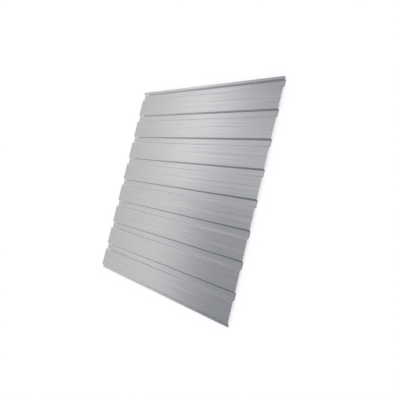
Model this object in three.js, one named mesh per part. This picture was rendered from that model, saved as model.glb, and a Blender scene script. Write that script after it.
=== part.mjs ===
// Trapezoidal profiled steel sheet: one strip of zinc-coated steel, roll-formed into wide flat ribs, each
// with a shallow stiffening groove along the middle of its crest.
//
// X runs along the ribs, Y across them and Z up through the ribs. The sheet lies on its valleys: their
// lower faces are at Z = 0, and the origin is the centre of the footprint. The lip that laps the next
// sheet is on the +Y edge, and the plain flange on the -Y edge.

import * as THREE from 'three';

// Driving sizes, in millimetres. The section is dimensioned as on a roll former's drawing: between the
// sharp corners that the middle of the metal would have without its bends.

const SHEET_LENGTH = 1200;
const METAL_THICKNESS = 0.5;

const RIB_COUNT = 8;
const RIB_HEIGHT = 10.5; // rise from a valley to a crest
const CREST_WIDTH = 103; // top of a rib, groove included
const VALLEY_WIDTH = 28.75; // flat between two ribs
const WEB_RUN = 6; // how far a sloping web reaches across the sheet
const BEND_RADIUS = 2.75; // to the middle of the metal

const GROOVE_WIDTH = 20; // stiffening groove along the middle of every crest, with its two slopes
const GROOVE_DEPTH = 0.25;
const GROOVE_SLOPE_RUN = 3; // how far one of its slopes reaches across the sheet

const FLANGE_WIDTH = 11.25; // flat at valley height that ends the -Y edge
const LIP_WIDTH = 12.75; // flat at crest height that ends the +Y edge

const BEND_DIVISIONS = 4; // an arc is drawn with twice as many facets

/** Corners of the section, from the flange's edge to the lip's edge, centred across the sheet. */
function sectionCorners() {
  const corners = [new THREE.Vector2(0, METAL_THICKNESS / 2)];
  const run = (across, up) => {
    const next = new THREE.Vector2(across, up).add(corners.at(-1));
    corners.push(next);
  };

  const besideGroove = (CREST_WIDTH - GROOVE_WIDTH) / 2;
  const grooveFloor = GROOVE_WIDTH - 2 * GROOVE_SLOPE_RUN;

  run(FLANGE_WIDTH, 0);
  for (let rib = 0; rib < RIB_COUNT; rib++) {
    run(WEB_RUN, RIB_HEIGHT);
    run(besideGroove, 0);
    run(GROOVE_SLOPE_RUN, -GROOVE_DEPTH);
    run(grooveFloor, 0);
    run(GROOVE_SLOPE_RUN, GROOVE_DEPTH);
    run(besideGroove, 0);
    run(WEB_RUN, -RIB_HEIGHT);
    run(VALLEY_WIDTH, 0);
  }
  run(WEB_RUN, RIB_HEIGHT);
  run(LIP_WIDTH, 0);

  const centre = new THREE.Vector2(corners.at(-1).x / 2, 0);
  return corners.map((corner) => corner.sub(centre));
}

/** Direction from one corner to the next. */
function heading(from, to) {
  return new THREE.Vector2().subVectors(to, from).normalize();
}

/** Point at a distance to the left of a corner, for someone who walks in the given direction. */
function leftOf(corner, direction, distance) {
  const left = new THREE.Vector2(-direction.y, direction.x);
  return left.multiplyScalar(distance).add(corner);
}

/** Draws the face on the left of a walk along the corners: straight runs, with an arc round each bend. */
function drawFace(outline, corners) {
  const halfMetal = METAL_THICKNESS / 2;
  const last = corners.length - 1;
  const start = leftOf(corners[0], heading(corners[0], corners[1]), halfMetal);
  const end = leftOf(corners[last], heading(corners[last - 1], corners[last]), halfMetal);

  outline.lineTo(start.x, start.y);
  for (let i = 1; i < last; i++) {
    const incoming = heading(corners[i - 1], corners[i]);
    const outgoing = heading(corners[i], corners[i + 1]);
    const turn = Math.atan2(incoming.cross(outgoing), incoming.dot(outgoing));
    const side = Math.sign(turn);

    const setback = BEND_RADIUS * Math.tan(Math.abs(turn) / 2);
    const bendStart = corners[i].clone().addScaledVector(incoming, -setback);
    const centre = leftOf(bendStart, incoming, side * BEND_RADIUS);
    const radius = BEND_RADIUS - side * halfMetal;
    const startAngle = incoming.angle() - (side * Math.PI) / 2;
    outline.absarc(centre.x, centre.y, radius, startAngle, startAngle + turn, side < 0);
  }
  outline.lineTo(end.x, end.y);
}

/** Cut end of the sheet: out along the upper face from the flange to the lip, and back along the lower. */
function sectionOutline() {
  const outward = sectionCorners();
  const inward = [...outward].reverse();
  const flangeEdge = leftOf(outward[0], heading(outward[1], outward[0]), METAL_THICKNESS / 2);

  const outline = new THREE.Shape();
  outline.moveTo(flangeEdge.x, flangeEdge.y);
  drawFace(outline, outward);
  drawFace(outline, inward);
  return outline;
}

/** The whole sheet: its section carried along the ribs. */
function makeSheet() {
  const geometry = new THREE.ExtrudeGeometry(sectionOutline(), {
    depth: SHEET_LENGTH,
    bevelEnabled: false,
    curveSegments: BEND_DIVISIONS,
  });
  geometry.translate(0, 0, -SHEET_LENGTH / 2);

  const zincCoatedSteel = new THREE.MeshStandardMaterial({
    color: '#b4b8bb',
    roughness: 0.35,
    metalness: 0.9,
  });
  const sheet = new THREE.Mesh(geometry, zincCoatedSteel);
  sheet.name = 'ribbed_sheet';
  // the section is drawn in X and Y and carried along Z, and these turns bring them to Y, Z and X
  sheet.rotation.set(Math.PI / 2, Math.PI / 2, 0);
  return sheet;
}

const profiledSheet = new THREE.Group();
profiledSheet.name = 'profiled_sheet';
profiledSheet.add(makeSheet());

export default profiledSheet;
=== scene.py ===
"""Looks of a trapezoidal profiled sheet: its zinc-coated steel, and a soft studio round it."""

import math

import bpy
from bpy.props import FloatProperty, FloatVectorProperty, PointerProperty
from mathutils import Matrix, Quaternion, Vector

bl_info = {
    "name": "Profiled Steel Sheet",
    "version": (1, 0, 0),
    "blender": (4, 5, 0),
    "location": "3D View > Sidebar > Profiled Sheet",
    "description": "Finishes a trapezoidal profiled sheet and builds a soft studio round it",
    "category": "Object",
}

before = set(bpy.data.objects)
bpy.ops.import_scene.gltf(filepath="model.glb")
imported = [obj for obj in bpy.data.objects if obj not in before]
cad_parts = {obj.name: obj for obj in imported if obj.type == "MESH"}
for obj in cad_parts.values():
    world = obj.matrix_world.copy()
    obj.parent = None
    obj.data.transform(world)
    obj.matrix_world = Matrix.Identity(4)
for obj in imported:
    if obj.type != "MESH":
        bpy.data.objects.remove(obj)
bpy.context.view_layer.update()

SHEET_NODE = "ribbed_sheet"
MM = 0.001

GRAIN_ROUGHNESS = 0.6  # how much the finer marks add to the broad ones
MARK_RANGE = (0.7, 1.3)  # where streaks and scratches, added up, mostly lie
# how far a face's normal leans across the ribs: from flat to bend, and from bend to web
FLAT_TO_BEND = (0.2, 0.3)
BEND_TO_WEB = (0.75, 0.85)
END_FACE_LEAN = 0.9  # a normal that leans along the ribs more than this is on a sheared end
FLOOR_GAP = 0.2 * MM  # keeps the floor's face apart from the valleys' lower faces
SENSOR_WIDTH = 36  # mm

# sockets of a colour mix node, which share their names with those for numbers and vectors
MIX_SHARE, MIX_FIRST, MIX_SECOND = 0, 6, 7
MIX_COLOUR = 2


def linear_rgb(hex_colour):
    """Linear red, green and blue of an sRGB hex colour such as #BCBEC0."""
    channels = [int(hex_colour[i : i + 2], 16) / 255 for i in (1, 3, 5)]
    return tuple(c / 12.92 if c <= 0.04045 else ((c + 0.055) / 1.055) ** 2.4 for c in channels)


def colour_property(name, description, hex_colour):
    """Colour swatch whose default is an sRGB hex colour."""
    return FloatVectorProperty(
        name=name,
        description=description,
        subtype="COLOR",
        default=linear_rgb(hex_colour),
        min=0,
        max=1,
    )


def share_property(name, description, share):
    """Number from 0 to 1."""
    return FloatProperty(
        name=name, description=description, default=share, min=0, max=1, subtype="FACTOR"
    )


def length_property(name, description, metres):
    """Length in scene units."""
    return FloatProperty(name=name, description=description, default=metres, min=0, unit="LENGTH")


def angle_property(name, description, degrees):
    """Angle, set in degrees."""
    return FloatProperty(
        name=name, description=description, default=math.radians(degrees), unit="ROTATION"
    )


def place_property(name, description, place):
    """Point in the sheet's frame."""
    return FloatVectorProperty(
        name=name, description=description, default=place, subtype="TRANSLATION"
    )


def direction_property(name, description, direction):
    """Direction seen from the sheet."""
    return FloatVectorProperty(
        name=name, description=description, default=direction, subtype="DIRECTION"
    )


class ZincCoatSettings(bpy.types.PropertyGroup):
    """Finish of the sheet's hot-dip zinc coat."""

    light_zinc: colour_property("Light zinc", "Zinc between the rolling streaks", "#D8D8D7")
    dark_zinc: colour_property("Dark zinc", "Zinc in the rolling streaks", "#CCCCCC")
    # painted highlight: the bends get this plain tint, a little lighter than the streaked zinc on
    # average
    bend_highlight_zinc: colour_property(
        "Highlighted zinc", "Zinc that the forming rolls rubbed along the bends", "#D4D4D4"
    )
    cut_steel: colour_property("Cut steel", "Bare steel of the sheared edges", "#8E8D8B")
    roughness: share_property("Roughness", "Roughness of the skin-passed coat", 0.22)
    roughness_spread: share_property(
        "Roughness spread", "How much the streaks change the roughness", 0.01
    )
    cut_roughness: share_property("Edge roughness", "Roughness of the sheared edges", 0.55)
    brushing: share_property(
        "Brushing",
        "How much further the rolling marks spread a reflection across the ribs than along them",
        0.65,
    )
    streak_spacing: length_property("Streak spacing", "Distance between rolling streaks", 5.5 * MM)
    streak_length: length_property(
        "Streak length", "Length of a rolling streak along the ribs", 2000 * MM
    )
    scratch_spacing: length_property(
        "Scratch spacing", "Distance between fine rolling scratches", 3 * MM
    )
    scratch_length: length_property(
        "Scratch length", "Length of a fine scratch along the ribs", 320 * MM
    )
    wave_width: length_property("Wave width", "Width of the slight waves in the flats", 60 * MM)
    wave_length: length_property(
        "Wave length", "Length of the slight waves along the ribs", 900 * MM
    )
    wave_height: length_property("Wave height", "Height of the slight waves", 0.02 * MM)


class StudioSettings(bpy.types.PropertyGroup):
    """Floor, light and camera of the studio."""

    floor_colour: colour_property("Floor", "Matt white paper", "#FAFAFA")
    floor_size: length_property("Floor size", "Side of the square floor", 60)
    floor_glow: share_property("Floor glow", "What the floor lacks of white under this light", 0.34)
    wall_foot: colour_property(
        "Wall foot", "Pale wall all round, where it meets the floor", "#EAEAEA"
    )
    wall: colour_property("Wall", "The same wall under its lit strip", "#BCBBBC")
    wall_light: colour_property("Wall light", "Lit strip along the top of the wall", "#E7E7E8")
    cove: colour_property("Cove", "Unlit cove above the strip", "#8C8F97")
    ceiling: colour_property("Ceiling", "Pale ceiling", "#E7E7E7")
    wall_start: angle_property(
        "Wall foot height", "Height above the horizon up to which the foot reaches", 5
    )
    wall_top: angle_property(
        "Wall top", "Height above the horizon where the lit strip starts", 28.1
    )
    strip_height: angle_property(
        "Strip", "Height above the horizon of the middle of the lit strip", 36.5
    )
    cove_start: angle_property(
        "Cove start", "Height above the horizon where the cove is darkest", 41.7
    )
    cove_end: angle_property(
        "Cove end", "Height above the horizon where the cove turns to the ceiling", 46.7
    )
    ceiling_start: angle_property(
        "Ceiling start", "Height above the horizon where the ceiling is full", 60
    )
    near_flag: colour_property(
        "Near flag", "Dark cloth that shades the -Y side of the set", "#6B6F7A"
    )
    near_flag_direction: direction_property(
        "Near flag direction", "Where the near cloth hangs", (-0.0526, -0.8242, 0.5638)
    )
    near_flag_radius: angle_property(
        "Near flag radius", "Half the angle that the near cloth covers", 45
    )
    near_flag_edge: angle_property(
        "Near flag edge", "Angle over which the near cloth's edge fades", 8.25
    )
    far_flag: colour_property(
        "Far flag", "Grey cloth that shades the +Y side of the set", "#BEBFC2"
    )
    far_flag_direction: direction_property(
        "Far flag direction", "Where the far cloth hangs", (-0.5677, 0.7569, 0.3239)
    )
    far_flag_radius: angle_property(
        "Far flag radius", "Half the angle that the far cloth covers", 20.6
    )
    far_flag_edge: angle_property(
        "Far flag edge", "Angle over which the far cloth's edge fades", 11.1
    )
    flag_end: share_property(
        "Cloth ends", "Share of the -X side over which the cloths' ends fade out", 0.25
    )
    fill_card: colour_property("Fill card", "Pale card that stands on the +Y side", "#F3F7FF")
    fill_card_direction: direction_property(
        "Fill card direction", "Where the card stands", (-0.7884, 0.4657, 0.4018)
    )
    fill_card_radius: angle_property(
        "Fill card radius", "Half the angle that the card covers", 5.25
    )
    fill_card_edge: angle_property("Fill card edge", "Angle over which the card's edge fades", 6.15)
    surround_light: FloatProperty(
        name="Surround light",
        description="How brightly the walls, cloths and card are lit",
        default=1.25,
        min=0,
    )
    key_place: place_property("Key lamp", "Place of the key softbox", (-8.37, 2.33, 8.28))
    key_size: FloatVectorProperty(
        name="Key size",
        description="Width and height of the key softbox",
        size=2,
        default=(3.16, 3.84),
        unit="LENGTH",
    )
    key_watts: FloatProperty(
        name="Key power", description="Power of the key softbox", default=11.2, unit="POWER"
    )
    camera_place: place_property("Camera", "Place of the camera", (2.0, -0.1535, 1.5148))
    camera_aim: place_property("Aim", "Point at the middle of the view", (0.199, -0.0454, 0))
    camera_roll: angle_property("Roll", "Turn of the camera about its own line of sight", -74.3)
    camera_lens: FloatProperty(
        name="Lens", description="Focal length on a 36 mm sensor", default=40.455, unit="CAMERA"
    )


def add_node(tree, kind, settings=None, inputs=None):
    """Adds a shader node and sets it up.

    An input is given a value, or is linked to a socket or to a node's first output.
    """
    node = tree.nodes.new(kind)
    for name, value in (settings or {}).items():
        setattr(node, name, value)
    for name, value in (inputs or {}).items():
        if isinstance(value, bpy.types.Node):
            value = value.outputs[0]
        if isinstance(value, bpy.types.NodeSocket):
            tree.links.new(value, node.inputs[name])
        else:
            node.inputs[name].default_value = value
    return node


def opaque(colour):
    """A colour with full alpha."""
    return (*colour, 1.0)


def rolled_grain(tree, place, length, spacing, detail):
    """Noise drawn out along the ribs, as the rolls draw out marks in the zinc."""
    stretch = (1 / length, 1 / spacing, 1 / spacing)
    drawn_out = add_node(tree, "ShaderNodeMapping", inputs={"Vector": place, "Scale": stretch})
    return add_node(
        tree,
        "ShaderNodeTexNoise",
        inputs={"Vector": drawn_out, "Scale": 1.0, "Detail": detail, "Roughness": GRAIN_ROUGHNESS},
    )


def skin_passed_zinc(coat):
    """Bare hot-dip zinc on steel, skin-passed: satin and pale grey, streaked along the ribs."""
    material = bpy.data.materials.new("skin_passed_hot_dip_zinc")
    material.use_nodes = True
    tree = material.node_tree
    tree.nodes.clear()

    place = add_node(tree, "ShaderNodeTexCoord").outputs["Object"]
    normal = add_node(tree, "ShaderNodeNewGeometry").outputs["Normal"]
    facing = add_node(tree, "ShaderNodeSeparateXYZ", inputs={"Vector": normal})

    # the rolls draw the zinc out into streaks: real ones are a fraction of a millimetre apart, and
    # are drawn coarser here so that they show
    streaks = rolled_grain(tree, place, coat.streak_length, coat.streak_spacing, 2.0)
    scratches = rolled_grain(tree, place, coat.scratch_length, coat.scratch_spacing, 1.0)
    both = add_node(tree, "ShaderNodeMath", {"operation": "ADD"}, {0: streaks, 1: scratches})
    marks = add_node(
        tree,
        "ShaderNodeMapRange",
        inputs={"Value": both, "From Min": MARK_RANGE[0], "From Max": MARK_RANGE[1]},
    )
    zinc_colour = add_node(
        tree,
        "ShaderNodeMix",
        {"data_type": "RGBA"},
        {MIX_SHARE: marks, MIX_FIRST: opaque(coat.dark_zinc), MIX_SECOND: opaque(coat.light_zinc)},
    ).outputs[MIX_COLOUR]

    # bends face between the flats and the webs, and get one plain tint a little lighter than the
    # streaked zinc on average: a painted highlight along the bends
    slope = add_node(tree, "ShaderNodeMath", {"operation": "ABSOLUTE"}, {0: facing.outputs["Y"]})
    past_flat = add_node(
        tree,
        "ShaderNodeMapRange",
        {"interpolation_type": "SMOOTHSTEP"},
        {"Value": slope, "From Min": FLAT_TO_BEND[0], "From Max": FLAT_TO_BEND[1]},
    )
    before_web = add_node(
        tree,
        "ShaderNodeMapRange",
        {"interpolation_type": "SMOOTHSTEP"},
        {
            "Value": slope,
            "From Min": BEND_TO_WEB[0],
            "From Max": BEND_TO_WEB[1],
            "To Min": 1.0,
            "To Max": 0.0,
        },
    )
    bend = add_node(
        tree, "ShaderNodeMath", {"operation": "MULTIPLY"}, {0: past_flat, 1: before_web}
    )
    bend_highlit_colour = add_node(
        tree,
        "ShaderNodeMix",
        {"data_type": "RGBA"},
        {MIX_SHARE: bend, MIX_FIRST: zinc_colour, MIX_SECOND: opaque(coat.bend_highlight_zinc)},
    ).outputs[MIX_COLOUR]

    # the two sheared ends face along the ribs and show the steel core, duller and darker than zinc
    along = add_node(tree, "ShaderNodeMath", {"operation": "ABSOLUTE"}, {0: facing.outputs["X"]})
    sheared = add_node(
        tree, "ShaderNodeMath", {"operation": "GREATER_THAN"}, {0: along, 1: END_FACE_LEAN}
    )
    colour = add_node(
        tree,
        "ShaderNodeMix",
        {"data_type": "RGBA"},
        {MIX_SHARE: sheared, MIX_FIRST: bend_highlit_colour, MIX_SECOND: opaque(coat.cut_steel)},
    ).outputs[MIX_COLOUR]

    rolled = add_node(
        tree,
        "ShaderNodeMapRange",
        inputs={
            "Value": marks,
            "To Min": coat.roughness + coat.roughness_spread,
            "To Max": coat.roughness - coat.roughness_spread,
        },
    )
    cut = add_node(
        tree, "ShaderNodeMath", {"operation": "MULTIPLY"}, {0: sheared, 1: coat.cut_roughness}
    )
    roughness = add_node(tree, "ShaderNodeMath", {"operation": "MAXIMUM"}, {0: rolled, 1: cut})

    waves = rolled_grain(tree, place, coat.wave_length, coat.wave_width, 0.0)
    wavy = add_node(
        tree,
        "ShaderNodeBump",
        inputs={"Height": waves, "Distance": coat.wave_height, "Strength": 1.0},
    )
    across_ribs = add_node(tree, "ShaderNodeCombineXYZ", inputs={"X": 0.0, "Y": 1.0, "Z": 0.0})

    zinc = add_node(
        tree,
        "ShaderNodeBsdfPrincipled",
        inputs={
            "Base Color": colour,
            "Metallic": 1.0,
            "Roughness": roughness,
            "Anisotropic": coat.brushing,
            "Tangent": across_ribs,
            "Normal": wavy,
        },
    )
    add_node(tree, "ShaderNodeOutputMaterial", inputs={"Surface": zinc})
    return material


def white_floor(studio):
    """Matt white paper: it has no sheen and shows only soft shadow."""
    material = bpy.data.materials.new("matt_white_paper")
    material.use_nodes = True
    tree = material.node_tree
    tree.nodes.clear()

    # the camera sees the paper white, in sight or mirrored in the metal, and it lights nothing matt
    ray = add_node(tree, "ShaderNodeLightPath").outputs
    mirrored = add_node(
        tree,
        "ShaderNodeMath",
        {"operation": "MAXIMUM"},
        {0: ray["Is Glossy Ray"], 1: ray["Is Transmission Ray"]},
    )
    seen = add_node(
        tree, "ShaderNodeMath", {"operation": "MAXIMUM"}, {0: ray["Is Camera Ray"], 1: mirrored}
    )
    lack = add_node(
        tree, "ShaderNodeMath", {"operation": "MULTIPLY"}, {0: seen, 1: studio.floor_glow}
    )
    paper = add_node(tree, "ShaderNodeBsdfDiffuse", inputs={"Color": opaque(studio.floor_colour)})
    glow = add_node(tree, "ShaderNodeEmission", inputs={"Strength": lack})
    surface = add_node(tree, "ShaderNodeAddShader", inputs={0: paper, 1: glow})
    add_node(tree, "ShaderNodeOutputMaterial", inputs={"Surface": surface})
    return material


def light_surround(studio):
    """Surround of the set: bands by height, a cloth at either side and a card at the +Y side.

    From the floor up the bands are a pale wall, the lit strip along its top, an unlit cove and a
    pale ceiling.
    """
    world = bpy.data.worlds.new("studio_surround")
    bpy.context.scene.world = world
    world.use_nodes = True
    tree = world.node_tree
    tree.nodes.clear()

    direction = add_node(tree, "ShaderNodeTexCoord").outputs["Generated"]
    reach = add_node(tree, "ShaderNodeSeparateXYZ", inputs={"Vector": direction}).outputs
    bands = add_node(tree, "ShaderNodeValToRGB", inputs={"Fac": reach["Z"]})
    stops = (
        (studio.wall_start, studio.wall_foot),
        (studio.wall_top, studio.wall),
        (studio.strip_height, studio.wall_light),
        (studio.cove_start, studio.cove),
        (studio.cove_end, studio.cove),
        (studio.ceiling_start, studio.ceiling),
    )
    ramp = bands.color_ramp
    while len(ramp.elements) < len(stops):
        ramp.elements.new(1.0)
    for element, (angle, stop_colour) in zip(ramp.elements, stops):
        element.position = math.sin(angle)
        element.color = opaque(stop_colour)

    # the cloths and the card are on the -X side, and the other half of the set stays plain
    hung = add_node(
        tree,
        "ShaderNodeMapRange",
        {"interpolation_type": "SMOOTHSTEP"},
        {
            "Value": reach["X"],
            "From Min": -studio.flag_end,
            "From Max": 0.0,
            "To Min": 1.0,
            "To Max": 0.0,
        },
    )
    screens = (
        (
            studio.near_flag,
            studio.near_flag_direction,
            studio.near_flag_radius,
            studio.near_flag_edge,
        ),
        (
            studio.far_flag,
            studio.far_flag_direction,
            studio.far_flag_radius,
            studio.far_flag_edge,
        ),
        (
            studio.fill_card,
            studio.fill_card_direction,
            studio.fill_card_radius,
            studio.fill_card_edge,
        ),
    )
    colour = bands.outputs["Color"]
    for screen_colour, screen_direction, radius, edge in screens:
        toward_screen = add_node(
            tree,
            "ShaderNodeVectorMath",
            {"operation": "DOT_PRODUCT"},
            {0: direction, 1: tuple(screen_direction)},
        ).outputs["Value"]
        covered = add_node(
            tree,
            "ShaderNodeMapRange",
            {"interpolation_type": "SMOOTHSTEP"},
            {
                "Value": toward_screen,
                "From Min": math.cos(radius + edge),
                "From Max": math.cos(radius),
            },
        )
        screen = add_node(tree, "ShaderNodeMath", {"operation": "MULTIPLY"}, {0: covered, 1: hung})
        colour = add_node(
            tree,
            "ShaderNodeMix",
            {"data_type": "RGBA"},
            {MIX_SHARE: screen, MIX_FIRST: colour, MIX_SECOND: opaque(screen_colour)},
        ).outputs[MIX_COLOUR]
    glow = add_node(
        tree,
        "ShaderNodeBackground",
        inputs={"Color": colour, "Strength": studio.surround_light},
    )
    add_node(tree, "ShaderNodeOutputWorld", inputs={"Surface": glow})


class FinishSheet(bpy.types.Operator):
    """Give the ribbed sheet its zinc coat"""

    bl_idname = "profiled_sheet.finish_sheet"
    bl_label = "Finish sheet"

    def execute(self, context):
        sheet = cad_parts[SHEET_NODE]
        material = skin_passed_zinc(context.scene.zinc_coat)
        sheet.data.materials.clear()
        sheet.data.materials.append(material)
        return {"FINISHED"}


class BuildStudio(bpy.types.Operator):
    """Build the floor, the light and the camera"""

    bl_idname = "profiled_sheet.build_studio"
    bl_label = "Build studio"

    def execute(self, context):
        studio = context.scene.studio
        bpy.ops.mesh.primitive_plane_add(size=studio.floor_size, location=(0, 0, -FLOOR_GAP))
        floor = context.object
        floor.name = "floor"
        floor.data.materials.append(white_floor(studio))

        light_surround(studio)
        softbox = bpy.data.lights.new("key_softbox", "AREA")
        softbox.shape = "RECTANGLE"
        softbox.size, softbox.size_y = studio.key_size
        softbox.energy = studio.key_watts
        key = bpy.data.objects.new("key_softbox", softbox)
        context.scene.collection.objects.link(key)
        key.location = studio.key_place
        key.rotation_euler = (-Vector(studio.key_place)).to_track_quat("-Z", "Y").to_euler()

        lens = bpy.data.cameras.new("camera")
        lens.sensor_width = SENSOR_WIDTH
        lens.lens = studio.camera_lens
        camera = bpy.data.objects.new("camera", lens)
        context.scene.collection.objects.link(camera)
        camera.location = studio.camera_place
        sight = Vector(studio.camera_aim) - Vector(studio.camera_place)
        roll = Quaternion((0, 0, 1), studio.camera_roll)
        camera.rotation_euler = (sight.to_track_quat("-Z", "Y") @ roll).to_euler()
        context.scene.camera = camera
        context.scene.view_settings.view_transform = "Standard"
        return {"FINISHED"}


class ProfiledSheetPanel(bpy.types.Panel):
    """Settings and steps of the profiled sheet"""

    bl_idname = "VIEW3D_PT_profiled_sheet"
    bl_label = "Profiled Sheet"
    bl_space_type = "VIEW_3D"
    bl_region_type = "UI"
    bl_category = "Profiled Sheet"

    def draw(self, context):
        steps = (
            (FinishSheet, context.scene.zinc_coat),
            (BuildStudio, context.scene.studio),
        )
        for operator, settings in steps:
            box = self.layout.box()
            box.operator(operator.bl_idname)
            for name in settings.__annotations__:
                box.prop(settings, name)


CLASSES = (ZincCoatSettings, StudioSettings, FinishSheet, BuildStudio, ProfiledSheetPanel)


def register():
    """Register the classes and attach their settings to the scene."""
    for cls in CLASSES:
        bpy.utils.register_class(cls)
    bpy.types.Scene.zinc_coat = PointerProperty(type=ZincCoatSettings)
    bpy.types.Scene.studio = PointerProperty(type=StudioSettings)


def unregister():
    """Remove the settings and the classes."""
    del bpy.types.Scene.studio
    del bpy.types.Scene.zinc_coat
    for cls in reversed(CLASSES):
        bpy.utils.unregister_class(cls)


def main():
    """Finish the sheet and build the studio."""
    register()
    bpy.ops.profiled_sheet.finish_sheet()
    bpy.ops.profiled_sheet.build_studio()


if __name__ == "__main__":
    main()
